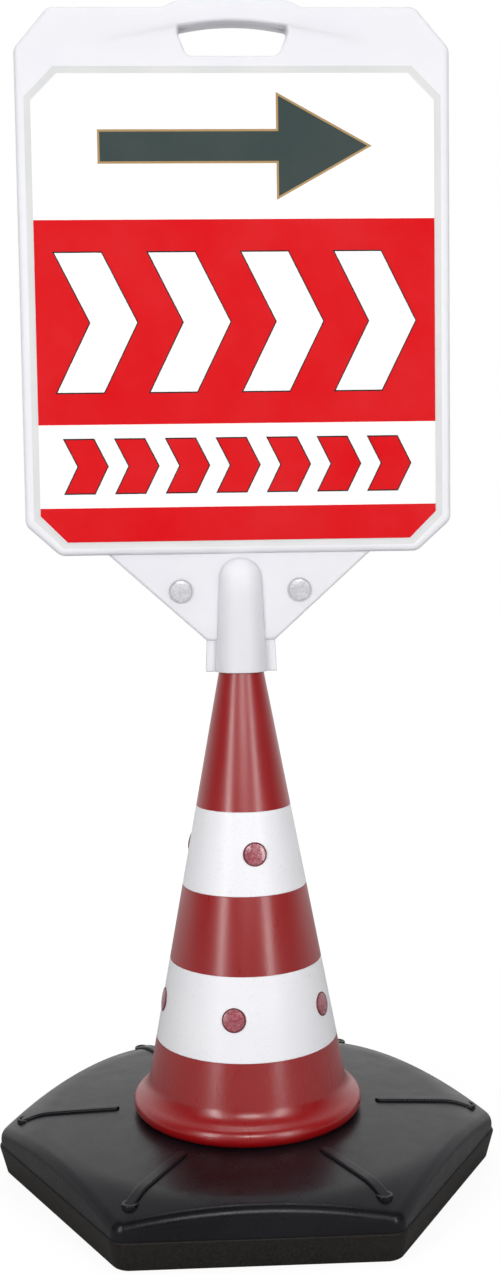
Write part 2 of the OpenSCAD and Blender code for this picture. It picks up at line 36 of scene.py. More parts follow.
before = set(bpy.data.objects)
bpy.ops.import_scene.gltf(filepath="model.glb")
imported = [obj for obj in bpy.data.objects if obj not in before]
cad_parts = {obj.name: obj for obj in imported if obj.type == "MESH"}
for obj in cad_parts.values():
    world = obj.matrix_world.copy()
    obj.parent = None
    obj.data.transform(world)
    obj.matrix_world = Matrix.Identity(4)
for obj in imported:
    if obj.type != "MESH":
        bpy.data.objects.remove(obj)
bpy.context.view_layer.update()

MM = 0.001


def node_box(node):
    """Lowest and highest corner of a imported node, in millimetres."""
    low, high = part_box(node)
    return low / MM, high / MM


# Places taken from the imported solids

tray_high = node_box("base_tray")[1]
screw_high = node_box("cover_screws")[1]
cone_low, cone_high = node_box("cone_body")
lower_low, lower_high = node_box("lower_sleeve")
upper_low, upper_high = node_box("upper_sleeve")
sign_low, sign_high = node_box("sign_front_shell")
poster_low, poster_high = node_box("front_poster")
plug_high = node_box("swivel_plug")[1]

# Base: tray

SIDES = 6
HALF_SIDE = math.pi / SIDES
rim_reach = tray_high.y
parting_z = tray_high.z
tray_lean = 5.5
tray_corner_r = 16
tray_foot_r = 3
tray_rim_r = 1.4
tray_ledge = 6
stand_w = 9
stand_h = 2

# Base: cover, whose dome has a flat seat, a wide crown, a brow and a fall to the shoulder

cover_step = 1.5
cover_reach = rim_reach - cover_step
cover_corner_r = tray_corner_r - cover_step
cover_foot_r = 0.8
shoulder_z = 51.5
shoulder_r = 11
seat_z = cone_low.z
seat_r = cone_high.x + cover_step
seat_lap = 12
crown_r = 4000
crown_z = seat_z - math.sqrt(crown_r**2 - seat_r**2)
fall_r = 600
fall_z = shoulder_z - math.sqrt(fall_r**2 - cover_reach**2)
brow_r = 60
side_cuts = 23
shoulder_steps = 8
dome_steps = 28

# Base: ribs, and the screws in the bosses at their ends

rib_start = cone_high.x + 14
rib_w = 10
rib_h = 2.4
rib_edge_r = 1.8
rib_cuts = 23
boss_r = 7.2
boss_sink = 6
boss_rise = 0.3
boss_edge_r = 1
bore_gap = 0.4
bore_edge_r = 0.4
bore_h = 2.5
screw_head_r = 4
screw_head_h = 2.2
screw_edge_h = 0.9
screw_crown_r = 9
screw_reach = screw_high.x - screw_head_r
screw_top_z = screw_high.z
hex_r = 1.9
hex_lip = 0.1
hex_h = 1.3
hex_widen = 1.1

# Cone

slope = (lower_high.x - upper_high.x) / (upper_low.z - lower_low.z)
lean = math.atan(slope)
cone_wall = 4
cone_steps = 144
sleeve_t = 0.8
recess_depth = 0.95
recess_draft = 0.1
recess_gap = 0.15
bead_r = 9
flare_r = 20
neck_h = 42
neck_bore_r = 10
neck_edge_r = 0.6
tip_edge_r = 1.2

# Reflectors

reflector_r = 11
reflector_sink = 2.6
reflector_steps = 48
cup_h = 3.2
cup_wall = 1.3
cup_floor = 1.1
lens_gap = 0.1
lens_rise = 0.8
lower_angles = [-10.5 + 72 * k for k in range(5)]
upper_angles = [9 + 120 * k for k in range(3)]
sign_reflector_x = 54.5
sign_reflector_z = 546
sign_reflector_y = 6.5

# Sign: panel, handle, hand slot and window

mouth_z = sign_low.z
sign_top = sign_high.z
panel_half_w = sign_high.x
panel_half_t = 12.5
panel_low = 580
panel_top = 1066
panel_cut_w = 31
panel_cut_top = 36
panel_cut_low = 28
panel_corner_r = 10
panel_edge_r = 5
seam_w = 0.7
handle_half_w = 61
handle_end_r = 30
handle_crown = 2
handle_fillet_r = 14
slot_top = 1053.5
slot_low = 1023
slot_half_top = 52
slot_half_low = 40
slot_crown_r = 220
slot_corner_r = 7
slot_rim = 3
window_bevel = 5.5
window_depth = 2
window_cut = 24
poster_fit = 0.3
poster_edge_r = 0.25

# Sign: gusset and socket

gusset_half_w = 120
gusset_foot_half_w = 31.4
gusset_foot_z = 500
gusset_half_t = 8
gusset_edge_r = 3
gusset_lap = 8
socket_mouth_r = -sign_low.y
socket_top_r = socket_mouth_r - 3.4
socket_top_z = mouth_z + 86
socket_ceiling_z = plug_high.z
socket_lip_r = 0.8
shell_wall = 3
fin_half_w = socket_mouth_r + 8.4
fin_half_t = 5
fin_edge_r = 1.5
fin_lap = 1
key_half_t = 3
key_h = 12

# Print on the posters: the heights where its bands meet, and the sizes of its marks

print_low = 623
print_mid = 698
print_high = 880
chevron_slant = 0.5
chevron_line = 1.2
large_chevrons = {"half_h": 62, "pitch": 84, "bar": 42, "count": 4}
small_chevrons = {"half_h": 24, "pitch": 46, "bar": 26, "count": 7}
arrow_line = 2
arrow_shaft_half_h = 13
arrow_tail_x = -120
arrow_neck_x = 40
arrow_tip_x = 120
arrow_head_slope = 0.55

# Studio: floor, room and camera, in metres

floor_half_w = 8
floor_grey = (0.45, 0.45, 0.45)
floor_glow_share = 0.72
floor_glow_near = 1.26
floor_glow_far = 1.36
floor_glow_start = 0.3
floor_glow_end = 2.0
floor_dull_start = 0.25
floor_dull_end = 3.5
room_front = 0.06
room_behind = 1.0
room_turn_low = -0.1
room_turn_high = 0.7
room_light = 0.33
middle_of_sign = (0, 0, 0.5)
camera_place = (-0.053, -1.371, 0.610)
camera_look = (0.0447, 0.9959, -0.0786)
camera_roll = math.radians(-0.83)
camera_lens = 41.96
camera_sensor = 36


def cone_r(z):
    """Radius of the cone's straight side at a height above the floor."""
    return lower_high.x - slope * (z - lower_low.z)


def dome_top(r):
    """Height of the cover's dome at a distance from the axis: its crown, its brow or its fall."""
    crown_in = crown_r - brow_r
    fall_in = fall_r - brow_r
    brow_z = (crown_z**2 - fall_z**2 + fall_in**2 - crown_in**2) / (2 * (crown_z - fall_z))
    brow_x = math.sqrt(fall_in**2 - (brow_z - fall_z) ** 2)
    if r < brow_x * crown_r / crown_in:
        return crown_z + math.sqrt(crown_r**2 - r**2)
    if r > brow_x * fall_r / fall_in:
        return fall_z + math.sqrt(fall_r**2 - r**2)
    return brow_z + math.sqrt(brow_r**2 - (r - brow_x) ** 2)


def socket_r(z):
    """Outer radius of the socket at a height above the floor."""
    share = (z - mouth_z) / (socket_top_z - mouth_z)
    return socket_mouth_r + (socket_top_r - socket_mouth_r) * share


# Mesh helpers


def arc(centre, radius, start, end, steps=8):
    """Points of a round stretch of a profile, from one angle to another in degrees."""
    angles = [math.radians(start + (end - start) * k / steps) for k in range(steps + 1)]
    return [(centre[0] + radius * math.cos(a), centre[1] + radius * math.sin(a)) for a in angles]


def quarter_steps(steps):
    """Pairs of angles that follow each other through a quarter circle."""
    for k in range(steps):
        yield math.pi / 2 * k / steps, math.pi / 2 * (k + 1) / steps


def turn(bm, profile, steps, sweep=2 * math.pi):
    """Turns a profile of (radius, height) points about the Z axis and returns the new vertices."""
    before = set(bm.verts)
    chain = [bm.verts.new((r, 0, z)) for r, z in profile]
    edges = [bm.edges.new(pair) for pair in zip(chain, chain[1:])]
    whole = abs(sweep) > 2 * math.pi - 0.001
    bmesh.ops.spin(bm, geom=chain + edges, axis=(0, 0, 1), cent=(0, 0, 0), angle=sweep,
                   steps=steps, use_merge=whole)
    made = [v for v in bm.verts if v not in before]
    bmesh.ops.remove_doubles(bm, verts=made, dist=0.001)
    return [v for v in bm.verts if v not in before]


def round_corners(bm, corners, radius, segments=6):
    """Rounds corners of a flat face."""
    for corner in corners:
        cut = radius * math.tan(corner.calc_edge_angle() / 2)
        bmesh.ops.bevel(bm, geom=[corner], affect="VERTICES", offset=cut, offset_type="OFFSET",
                        segments=segments, profile=0.5, material=-1)


def round_edges(bm, edges, radius, segments):
    """Rounds edges of a solid."""
    bmesh.ops.bevel(bm, geom=edges, affect="EDGES", offset=radius, offset_type="OFFSET",
                    segments=segments, profile=0.5, material=-1)


def inset(bm, face, thickness, depth):
    """Draws a face in from its border and moves it along its normal."""
    bmesh.ops.inset_region(bm, faces=[face], thickness=thickness, depth=depth,
                           use_even_offset=True)


def round_over(bm, face, radius, steps=6):
    """Draws a face in and out along a quarter circle, so that its border gets a round edge."""
    for a, b in quarter_steps(steps):
        inset(bm, face, radius * (math.cos(a) - math.cos(b)), radius * (math.sin(b) - math.sin(a)))


def push(bm, edges, move):
    """Extrudes edges and moves what is new; returns the new edges."""
    made = bmesh.ops.extrude_edge_only(bm, edges=edges)["geom"]
    verts = {g for g in made if isinstance(g, bmesh.types.BMVert)}
    bmesh.ops.translate(bm, verts=list(verts), vec=move)
    return [g for g in made if isinstance(g, bmesh.types.BMEdge) and verts.issuperset(g.verts)]


def flat_face(bm, points, y):
    """A face in the plane of the sign from (across, up) points, looking to the front."""
    face = bm.faces.new([bm.verts.new((x, y, z)) for x, z in points])
    face.normal_update()
    if face.normal.y > 0:
        face.normal_flip()
    return face


def newest_face(bm, y):
    """The last face made that lies in a plane of the sign."""
    return [f for f in bm.faces if all(abs(v.co.y - y) < 0.001 for v in f.verts)][-1]


def open_edges(bm, y):
    """Open borders that lie in a plane of the sign."""
    return [e for e in bm.edges if e.is_boundary and all(abs(v.co.y - y) < 0.001 for v in e.verts)]


def front_cap(bm, edges):
    """Closes a loop of edges with a face that looks to the front."""
    face = bmesh.ops.contextual_create(bm, geom=edges)["faces"][0]
    face.normal_update()
    if face.normal.y > 0:
        face.normal_flip()
    return face


def finish_piece(bm, name, finishes, body, slot, nodes):
    """Makes the piece's object from its mesh, with its finishes, and lets it ride on its body."""
    bmesh.ops.remove_doubles(bm, verts=bm.verts, dist=0.0005)
    bmesh.ops.recalc_face_normals(bm, faces=bm.faces)
    bmesh.ops.scale(bm, vec=(MM, MM, MM), verts=bm.verts)
    mesh = bpy.data.meshes.new(name)
    bm.to_mesh(mesh)
    bm.free()
    mesh.shade_smooth()
    mesh.set_sharp_from_angle(angle=math.radians(35))
    for finish in finishes:
        mesh.materials.append(finish)
    piece = bpy.data.objects.new(name, mesh)
    bpy.context.scene.collection.objects.link(piece)
    piece.modifiers.new("even_shading", "WEIGHTED_NORMAL").keep_sharp = True
    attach(piece, body)
    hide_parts(*nodes)


# Finishes


class Nodes:
    """A tree of shader nodes, with short ways to add to it."""

    def __init__(self, tree):
        self.tree = tree

    def join(self, value, socket):
        if isinstance(value, bpy.types.NodeSocket):
            self.tree.links.new(value, socket)
        elif isinstance(value, tuple) and len(value) == 3 and socket.type == "RGBA":
            socket.default_value = (*value, 1)
        else:
            socket.default_value = value

    def add(self, kind, inputs, **settings):
        node = self.tree.nodes.new("ShaderNode" + kind)
        for name, value in settings.items():
            setattr(node, name, value)
        for key, value in inputs.items():
            self.join(value, node.inputs[key])
        return node

    def calc(self, operation, first, second=0.0):
        return self.add("Math", {0: first, 1: second}, operation=operation).outputs["Value"]

    def spread(self, value, low, high, to_low=0.0, to_high=1.0):
        inputs = {"Value": value, "From Min": low, "From Max": high,
                  "To Min": to_low, "To Max": to_high}
        return self.add("MapRange", inputs).outputs["Result"]


class Finish(Nodes):
    """A material whose patterns lie on Object coordinates."""

    def __init__(self, name, **sockets):
        self.material = bpy.data.materials.new(name)
        self.material.use_nodes = True
        super().__init__(self.material.node_tree)
        self.shader = self.tree.nodes["Principled BSDF"]
        self.place = self.add("TexCoord", {}).outputs["Object"]
        for socket, value in sockets.items():
            self.set(socket.replace("_", " "), value)

    def set(self, socket, value):
        self.join(value, self.shader.inputs[socket])

    def axes(self):
        return self.add("SeparateXYZ", {"Vector": self.place}).outputs

    def stretched(self, scale):
        return self.add("Mapping", {"Vector": self.place, "Scale": scale}).outputs["Vector"]

    def noise(self, scale, detail=3.0, roughness=0.55, place=None):
        inputs = {"Vector": place or self.place, "Scale": scale, "Detail": detail,
                  "Roughness": roughness}
        return self.add("TexNoise", inputs).outputs["Fac"]

    def cells(self, scale, feature="F1"):
        inputs = {"Vector": self.place, "Scale": scale}
        return self.add("TexVoronoi", inputs, feature=feature).outputs["Distance"]

    def blend(self, share, first, second):
        node = self.add("Mix", {}, data_type="RGBA")
        self.join(share, node.inputs["Factor"])
        self.join(first, node.inputs["A"])
        self.join(second, node.inputs["B"])
        return node.outputs["Result"]

    def bump(self, height, strength, distance):
        inputs = {"Height": height, "Strength": strength, "Distance": distance}
        self.set("Normal", self.add("Bump", inputs).outputs["Normal"])


def cover_plastic():
    """Smooth black plastic with a satin shine and a little dust."""
    finish = Finish("cover_plastic", Specular_IOR_Level=0.28)
    dust = finish.spread(finish.noise(9, 4), 0.4, 0.75)
    finish.set("Base Color", finish.blend(dust, (0.004, 0.0042, 0.006), (0.009, 0.0092, 0.0125)))
    finish.set("Roughness", finish.spread(finish.noise(60, 3), 0.3, 0.7, 0.25, 0.33))
    finish.bump(finish.noise(700, 2), 0.06, 0.0002)
    return finish.material


def tray_plastic():
    """Duller black plastic with the grit that the foot of a street sign gathers."""
    finish = Finish("tray_plastic", Specular_IOR_Level=0.2)
    grit = finish.spread(finish.noise(420, 4, 0.7), 0.35, 0.7)
    streak = finish.spread(finish.noise(30, 3), 0.3, 0.7)
    black = finish.blend(streak, (0.005, 0.0045, 0.004), (0.011, 0.0095, 0.008))
    finish.set("Base Color", finish.blend(grit, black, (0.022, 0.019, 0.016)))
    finish.set("Roughness", finish.spread(grit, 0.0, 1.0, 0.45, 0.62))
    finish.bump(grit, 0.14, 0.0003)
    return finish.material


def red_plastic():
    """Glossy red plastic, scuffed along its length and duller towards the tip."""
    finish = Finish("red_plastic", Specular_IOR_Level=0.85)
    cloud = finish.spread(finish.noise(7, 3), 0.35, 0.7)
    finish.set("Base Color", finish.blend(cloud, (0.28, 0.0015, 0.003), (0.31, 0.002, 0.004)))
    scuff = finish.noise(55, 4, place=finish.stretched((1, 1, 0.15)))
    worn = finish.spread(finish.axes()["Z"], 0.15, 0.5, 0.0, 0.06)
    dull = finish.spread(scuff, 0.3, 0.7, 0.25, 0.33)
    finish.set("Roughness", finish.calc("ADD", dull, worn))
    finish.bump(finish.noise(160, 2), 0.05, 0.0003)
    return finish.material


def white_film():
    """White reflective film with its fine honeycomb."""
    finish = Finish("white_film", Specular_IOR_Level=0.4)
    cell = finish.spread(finish.cells(420, "DISTANCE_TO_EDGE"), 0.0, 0.06)
    shade = finish.spread(finish.noise(12, 3), 0.3, 0.7)
    base = finish.blend(shade, (0.86, 0.86, 0.895), (0.90, 0.90, 0.925))
    finish.set("Base Color", finish.blend(cell, (0.80, 0.80, 0.84), base))
    finish.set("Roughness", finish.spread(finish.noise(80, 2), 0.3, 0.7, 0.3, 0.42))
    finish.bump(cell, 0.12, 0.0002)
    return finish.material


def sign_plastic():
    """White plastic that lets some light through."""
    finish = Finish("sign_plastic", Specular_IOR_Level=0.25, Subsurface_Weight=0.25,
                    Subsurface_Scale=0.02, Subsurface_Radius=(1.0, 1.0, 1.0))
    cloud = finish.spread(finish.noise(5, 4), 0.35, 0.7)
    finish.set("Base Color", finish.blend(cloud, (0.80, 0.80, 0.85), (0.84, 0.84, 0.87)))
    finish.set("Roughness", finish.spread(finish.noise(40, 3), 0.3, 0.7, 0.34, 0.46))
    finish.bump(finish.noise(500, 2), 0.08, 0.0003)
    return finish.material


def bevel_painted_shade():
    """Pale grey painted on the bevel round the posters as the shade in that recess, though it is the
    sign's white plastic.
    """
    finish = Finish("bevel_painted_shade", Specular_IOR_Level=0.25)
    cloud = finish.spread(finish.noise(20, 3), 0.35, 0.7)
    finish.set("Base Color", finish.blend(cloud, (0.66, 0.67, 0.665), (0.71, 0.715, 0.71)))
    finish.set("Roughness", finish.spread(finish.noise(60, 3), 0.3, 0.7, 0.4, 0.5))
    finish.bump(finish.noise(500, 2), 0.08, 0.0003)
    return finish.material


def moulded_cup(name, dark, light):
    """Moulded plastic of the reflectors' cups."""
    finish = Finish(name, Specular_IOR_Level=0.5)
    finish.set("Base Color", finish.blend(finish.noise(150, 3), dark, light))
    finish.set("Roughness", finish.spread(finish.noise(300, 2), 0.3, 0.7, 0.3, 0.45))
    finish.bump(finish.noise(1500, 2), 0.1, 0.0002)
    return finish.material


def prism_lens(name, dark, light):
    """Glossy lens over a mottled pattern of prisms."""
    finish = Finish(name, Specular_IOR_Level=0.6, Coat_Weight=0.5, Coat_Roughness=0.08)
    prism = finish.cells(520)
    mottle = finish.spread(finish.noise(240, 3), 0.35, 0.65)
    share = finish.calc("MULTIPLY", finish.spread(prism, 0.0, 0.7), mottle)
    finish.set("Base Color", finish.blend(share, dark, light))
    finish.set("Roughness", finish.spread(prism, 0.0, 0.7, 0.12, 0.3))
    finish.bump(prism, 0.35, 0.0004)
    return finish.material


def screw_steel():
    """Dark plated steel."""
    finish = Finish("screw_steel", Metallic=1.0)
    plating = finish.blend(finish.noise(300, 3), (0.16, 0.16, 0.17), (0.3, 0.3, 0.31))
    finish.set("Base Color", plating)
    finish.set("Roughness", finish.spread(finish.noise(500, 2), 0.3, 0.7, 0.3, 0.5))
    finish.bump(finish.noise(1800, 2), 0.1, 0.0002)
    return finish.material


def concrete():
    """Rough grey of the cast ballast."""
    finish = Finish("concrete", Specular_IOR_Level=0.2)
    grit = finish.noise(140, 6, 0.7)
    finish.set("Base Color", finish.blend(grit, (0.26, 0.25, 0.23), (0.5, 0.48, 0.45)))
    finish.set("Roughness", finish.spread(grit, 0.3, 0.7, 0.8, 0.95))
    finish.bump(grit, 0.5, 0.001)
    return finish.material


def poster_print():
    """White sheet with red bands, large white chevrons, small red ones and an arrow."""
    finish = Finish("poster_print", Specular_IOR_Level=0.05)
    axes = finish.axes()
    x = finish.calc("DIVIDE", axes["X"], MM)
    z = finish.calc("DIVIDE", axes["Z"], MM)

    def both(*masks):
        whole = masks[0]
        for mask in masks[1:]:
            whole = finish.calc("MULTIPLY", whole, mask)
        return whole

    def under(value, high):
        return finish.calc("LESS_THAN", value, high)

    def between(value, low, high):
        return both(finish.calc("GREATER_THAN", value, low), under(value, high))

    def off(middle):
        return finish.calc("ABSOLUTE", finish.calc("SUBTRACT", z, middle))

    def chevrons(middle, grow, half_h, pitch, bar, count):
        up = off(middle)
        slant = finish.calc("MULTIPLY", finish.calc("SUBTRACT", up, half_h / 2), chevron_slant)
        along = finish.calc("ADD", x, slant)
        first = finish.calc("ADD", along, (count - 1) * pitch / 2)
        step = finish.calc("PINGPONG", first, pitch / 2)
        reach = count * pitch / 2
        return both(under(step, bar / 2 + grow), under(up, half_h + grow),
                    between(along, -reach, reach))

    def arrow(middle, grow):
        up = off(middle)
        shaft = both(under(up, arrow_shaft_half_h + grow),
                     between(x, arrow_tail_x - grow, arrow_neck_x + 1))
        ahead = finish.calc("SUBTRACT", arrow_tip_x + 2 * grow, x)
        edge = finish.calc("MULTIPLY", ahead, arrow_head_slope)
        head = both(under(up, edge), between(x, arrow_neck_x - grow, arrow_tip_x + 10))
        return finish.calc("MAXIMUM", shaft, head)

    white = (0.92, 0.92, 0.92)
    bright_red = (0.68, 0.004, 0.008)
    ink = (0.02, 0.012, 0.012)
    slate = (0.045, 0.065, 0.062)
    gold = (0.42, 0.27, 0.12)
    red_mid = (print_mid + print_high) / 2
    white_mid = (print_low + print_mid) / 2
    top_mid = (print_high + poster_high.z) / 2
    bands = finish.calc("MAXIMUM", between(z, print_mid, print_high), under(z, print_low))
    paint = finish.blend(bands, white, bright_red)
    for mid, marks, colour in ((red_mid, large_chevrons, white),
                               (white_mid, small_chevrons, bright_red)):
        paint = finish.blend(chevrons(mid, chevron_line, **marks), paint, ink)
        paint = finish.blend(chevrons(mid, 0, **marks), paint, colour)
    paint = finish.blend(arrow(top_mid, arrow_line), paint, gold)
    paint = finish.blend(arrow(top_mid, 0), paint, slate)
    fade = finish.spread(finish.noise(14, 3), 0.3, 0.7, 0.0, 0.012)
    finish.set("Base Color", finish.blend(fade, paint, white))
    finish.set("Roughness", finish.spread(finish.noise(70, 3), 0.3, 0.7, 0.45, 0.56))
    finish.bump(finish.noise(700, 2), 0.06, 0.0002)
    return finish.material


cover_black = cover_plastic()
tray_black = tray_plastic()
cone_red = red_plastic()
film = white_film()
sign_white = sign_plastic()
# Grey painted on the window's bevel as its shade.
bevel_shade_grey = bevel_painted_shade()
cup_red = moulded_cup("cup_red", (0.10, 0.012, 0.018), (0.18, 0.02, 0.03))
cup_grey = moulded_cup("cup_grey", (0.5, 0.5, 0.52), (0.58, 0.58, 0.6))
lens_red = prism_lens("lens_red", (0.26, 0.04, 0.06), (0.45, 0.12, 0.15))
lens_grey = prism_lens("lens_grey", (0.52, 0.52, 0.545), (0.68, 0.68, 0.7))
steel = screw_steel()
cast = concrete()
print_sheet = poster_print()


# Base


def hexagon(bm, reach, corner_r, z):
    """A flat hexagonal face with round corners, two of them on the X axis."""
    place = Matrix.Translation((0, 0, z)) @ Matrix.Rotation(HALF_SIDE, 4, "Z")
    made = bmesh.ops.create_circle(bm, cap_ends=True, segments=SIDES,
                                   radius=reach / math.cos(HALF_SIDE), matrix=place)
    round_corners(bm, made["verts"], corner_r, segments=8)
    return list(bm.faces)[-1]


def make_tray():
    """Lower shell of the base, its walls leaning out from a standing rim to the parting line."""
    bm = bmesh.new()
    foot = hexagon(bm, rim_reach - tray_lean, tray_corner_r, tray_foot_r)
    wall = push(bm, list(foot.edges), (0, 0, parting_z - tray_rim_r - tray_foot_r))
    ring = list({v for e in wall for v in e.verts})
    widen = rim_reach / (rim_reach - tray_lean)
    bmesh.ops.scale(bm, vec=(widen, widen, 1), verts=ring)
    rim = bmesh.ops.contextual_create(bm, geom=wall)["faces"][0]
    if rim.normal.z < 0:
        rim.normal_flip()
    round_over(bm, rim, tray_rim_r, steps=4)
    inset(bm, rim, tray_ledge, 0)
    if foot.normal.z > 0:
        foot.normal_flip()
    round_over(bm, foot, tray_foot_r, steps=5)
    inset(bm, foot, stand_w, 0)
    inset(bm, foot, stand_h, -stand_h)
    finish_piece(bm, "tray", [tray_black], "base", "base_plastic", ["base_tray"])


def make_cover():
    """Domed upper shell: upright walls, a shoulder that arches along each side, and the dome."""
    bm = bmesh.new()
    foot = hexagon(bm, cover_reach, cover_corner_r, parting_z)
    side = 2 * (cover_reach - cover_corner_r) * math.tan(HALF_SIDE) - 1
    long_edges = [e for e in foot.edges if e.calc_length() > side]
    bmesh.ops.delete(bm, geom=[foot], context="FACES_ONLY")
    bmesh.ops.subdivide_edges(bm, edges=long_edges, cuts=side_cuts)
    outline = bm.verts.layers.float_vector.new("outline")
    facing = bm.verts.layers.float_vector.new("facing")
    for v in bm.verts:
        v[outline] = v.co
    ring = push(bm, list(bm.edges), (0, 0, cover_foot_r))
    bm.normal_update()
    for v in bm.verts:
        out = Vector((v.normal.x, v.normal.y, 0)).normalized()
        v[facing] = out if out.dot(v.co) > 0 else -out

    def raise_ring(edges, place):
        made = push(bm, edges, (0, 0, 0))
        for v in {v for e in made for v in e.verts}:
            v.co = place(v)
        return made

    def shoulder_centre(v):
        inner = v[outline] - shoulder_r * v[facing]
        flat = math.hypot(inner.x, inner.y)
        high = fall_z + math.sqrt((fall_r - shoulder_r) ** 2 - flat**2)
        return Vector((inner.x, inner.y, high))

    def shoulder_point(share):
        def place(v):
            centre = shoulder_centre(v)
            up = (centre - Vector((0, 0, fall_z))).normalized()
            return centre + shoulder_r * v[facing].slerp(up, share)
        return place

    def dome_point(share):
        def place(v):
            edge = shoulder_point(1)(v)
            flat = Vector((edge.x, edge.y, 0))
            spot = flat.lerp(flat.normalized() * (seat_r - seat_lap), share)
            return Vector((spot.x, spot.y, min(dome_top(spot.length), seat_z)))
        return place

    for k in range(shoulder_steps + 1):
        ring = raise_ring(ring, shoulder_point(k / shoulder_steps))
    for k in range(dome_steps):
        ring = raise_ring(ring, dome_point((k + 1) / dome_steps))
    bmesh.ops.contextual_create(bm, geom=ring)
    finish_piece(bm, "cover", [cover_black], "base", "base_plastic", ["base_cover"])


def copy_round(bm):
    """Copies all there is of a piece to the base's other five corners."""
    whole = list(bm.verts) + list(bm.edges) + list(bm.faces)
    for k in range(1, SIDES):
        copy = bmesh.ops.duplicate(bm, geom=whole)["geom"]
        verts = [g for g in copy if isinstance(g, bmesh.types.BMVert)]
        bmesh.ops.rotate(bm, verts=verts, cent=(0, 0, 0),
                         matrix=Matrix.Rotation(2 * HALF_SIDE * k, 3, "Z"))


def make_ribs():
    """Six raised ribs that run down the dome to the bosses of the cover's screws."""
    bm = bmesh.new()
    half_w = rib_w / 2
    length = screw_reach - rib_start + half_w
    bmesh.ops.create_cube(bm, size=1)
    bmesh.ops.scale(bm, vec=(length, rib_w, 2 * rib_h), verts=bm.verts)
    upright = [e for e in bm.edges if abs(e.verts[0].co.z - e.verts[1].co.z) > rib_h]
    round_edges(bm, upright, half_w - 0.01, 8)
    top = max(bm.faces, key=lambda f: f.calc_center_median().z)
    round_edges(bm, list(top.edges), rib_edge_r, 5)
    long_edges = [e for e in bm.edges if e.calc_length() > length / 2]
    bmesh.ops.subdivide_edges(bm, edges=long_edges, cuts=rib_cuts)
    bmesh.ops.translate(bm, verts=bm.verts, vec=(rib_start + length / 2, 0, 0))
    for v in bm.verts:
        v.co.z += dome_top(math.hypot(v.co.x, v.co.y))
    copy_round(bm)
    finish_piece(bm, "cover_ribs", [cover_black], "base", "base_plastic", [])


def make_bosses():
    """Round bosses at the ribs' ends, each with the counterbore of its screw."""
    low = dome_top(screw_reach) - boss_sink
    top = screw_top_z + boss_rise
    bore_r = screw_head_r + bore_gap
    profile = [(0, low), (boss_r, low),
               *arc((boss_r - boss_edge_r, top - boss_edge_r), boss_edge_r, 0, 90, 4),
               *arc((bore_r + bore_edge_r, top - bore_edge_r), bore_edge_r, 90, 180, 3),
               (bore_r, top - bore_h), (0, top - bore_h)]
    bm = bmesh.new()
    bmesh.ops.translate(bm, verts=turn(bm, profile, 40), vec=(screw_reach, 0, 0))
    copy_round(bm)
    finish_piece(bm, "cover_bosses", [cover_black], "base", "base_plastic", [])


def make_cover_screws():
    """Pan-head screws with a hexagonal socket, sunk in their bosses."""
    low = screw_top_z - screw_head_h
    profile = [(0, low), (screw_head_r, low), (screw_head_r, low + screw_edge_h),
               *arc((0, screw_top_z - screw_crown_r), screw_crown_r, 65, 78, 4),
               (hex_r, screw_top_z - hex_lip), (hex_r, screw_top_z - hex_h),
               (0, screw_top_z - hex_h)]
    bm = bmesh.new()
    verts = turn(bm, profile, 36)
    for v in verts:
        flat = math.hypot(v.co.x, v.co.y)
        if abs(flat - hex_r) < 0.01:
            turned = math.atan2(v.co.y, v.co.x) % (2 * HALF_SIDE) - HALF_SIDE
            v.co.xy *= math.cos(HALF_SIDE) / math.cos(turned) * hex_widen
    bmesh.ops.translate(bm, verts=verts, vec=(screw_reach, 0, 0))
    copy_round(bm)
    finish_piece(bm, "cover_screw_heads", [steel], "base", "screw_steel", ["cover_screws"])


# Cone


def make_cone():
    """Hollow cone with a bead and a flare at its foot and the two recesses of the sleeves."""
    # The flare touches the straight side and the bead: its centre slides up the side's parallel.
    bead = (cone_high.x - bead_r, seat_z + bead_r)
    out = Vector((math.cos(lean), math.sin(lean)))
    start = Vector((cone_r(seat_z), seat_z)) + flare_r * out
    rise = Vector((-slope, 1))
    gap = start - Vector(bead)
    half = rise.dot(gap)
    short = gap.dot(gap) - (flare_r + bead_r) ** 2
    lift = (-half + math.sqrt(half**2 - rise.dot(rise) * short)) / rise.dot(rise)
    flare = start + lift * rise
    meet = math.degrees(math.atan2(flare.y - bead[1], flare.x - bead[0]))

    def recess(sleeve_low, sleeve_high):
        low = sleeve_low - recess_gap
        high = sleeve_high + recess_gap
        return [(cone_r(low), low), (cone_r(low) - recess_depth, low + recess_draft),
                (cone_r(high) - recess_depth, high - recess_draft), (cone_r(high), high)]

    top = cone_high.z
    inner_foot = cone_r(seat_z) - cone_wall
    neck_z = top - neck_h
    tip_z = top - tip_edge_r
    profile = [(inner_foot, seat_z), (bead[0], seat_z), *arc(bead, bead_r, -90, meet, 14),
               *arc(flare, flare_r, meet + 180, 180 + math.degrees(lean), 16)[1:],
               *recess(lower_low.z, lower_high.z), *recess(upper_low.z, upper_high.z),
               (cone_r(tip_z), tip_z),
               *arc((cone_r(top) - tip_edge_r, tip_z), tip_edge_r, 30, 90, 4),
               *arc((neck_bore_r + neck_edge_r, top - neck_edge_r), neck_edge_r, 90, 180, 3),
               (neck_bore_r, neck_z), (cone_r(neck_z) - cone_wall, neck_z), (inner_foot, seat_z)]
    bm = bmesh.new()
    turn(bm, profile, cone_steps)
    finish_piece(bm, "cone", [cone_red], "base", "cone_plastic", ["cone_body"])


def make_sleeve(name, node, low, high):
    """White sleeve with softly rounded edges, flush in its recess."""
    edge = sleeve_t / 2
    profile = [(cone_r(low) - sleeve_t, low), (cone_r(low) - edge, low),
               (cone_r(low + edge), low + edge), (cone_r(high - edge), high - edge),
               (cone_r(high) - edge, high), (cone_r(high) - sleeve_t, high),
               (cone_r(low) - sleeve_t, low)]
    bm = bmesh.new()
    turn(bm, profile, cone_steps)
    finish_piece(bm, name, [film], "base", "sleeve_film", [node])


# Reflectors


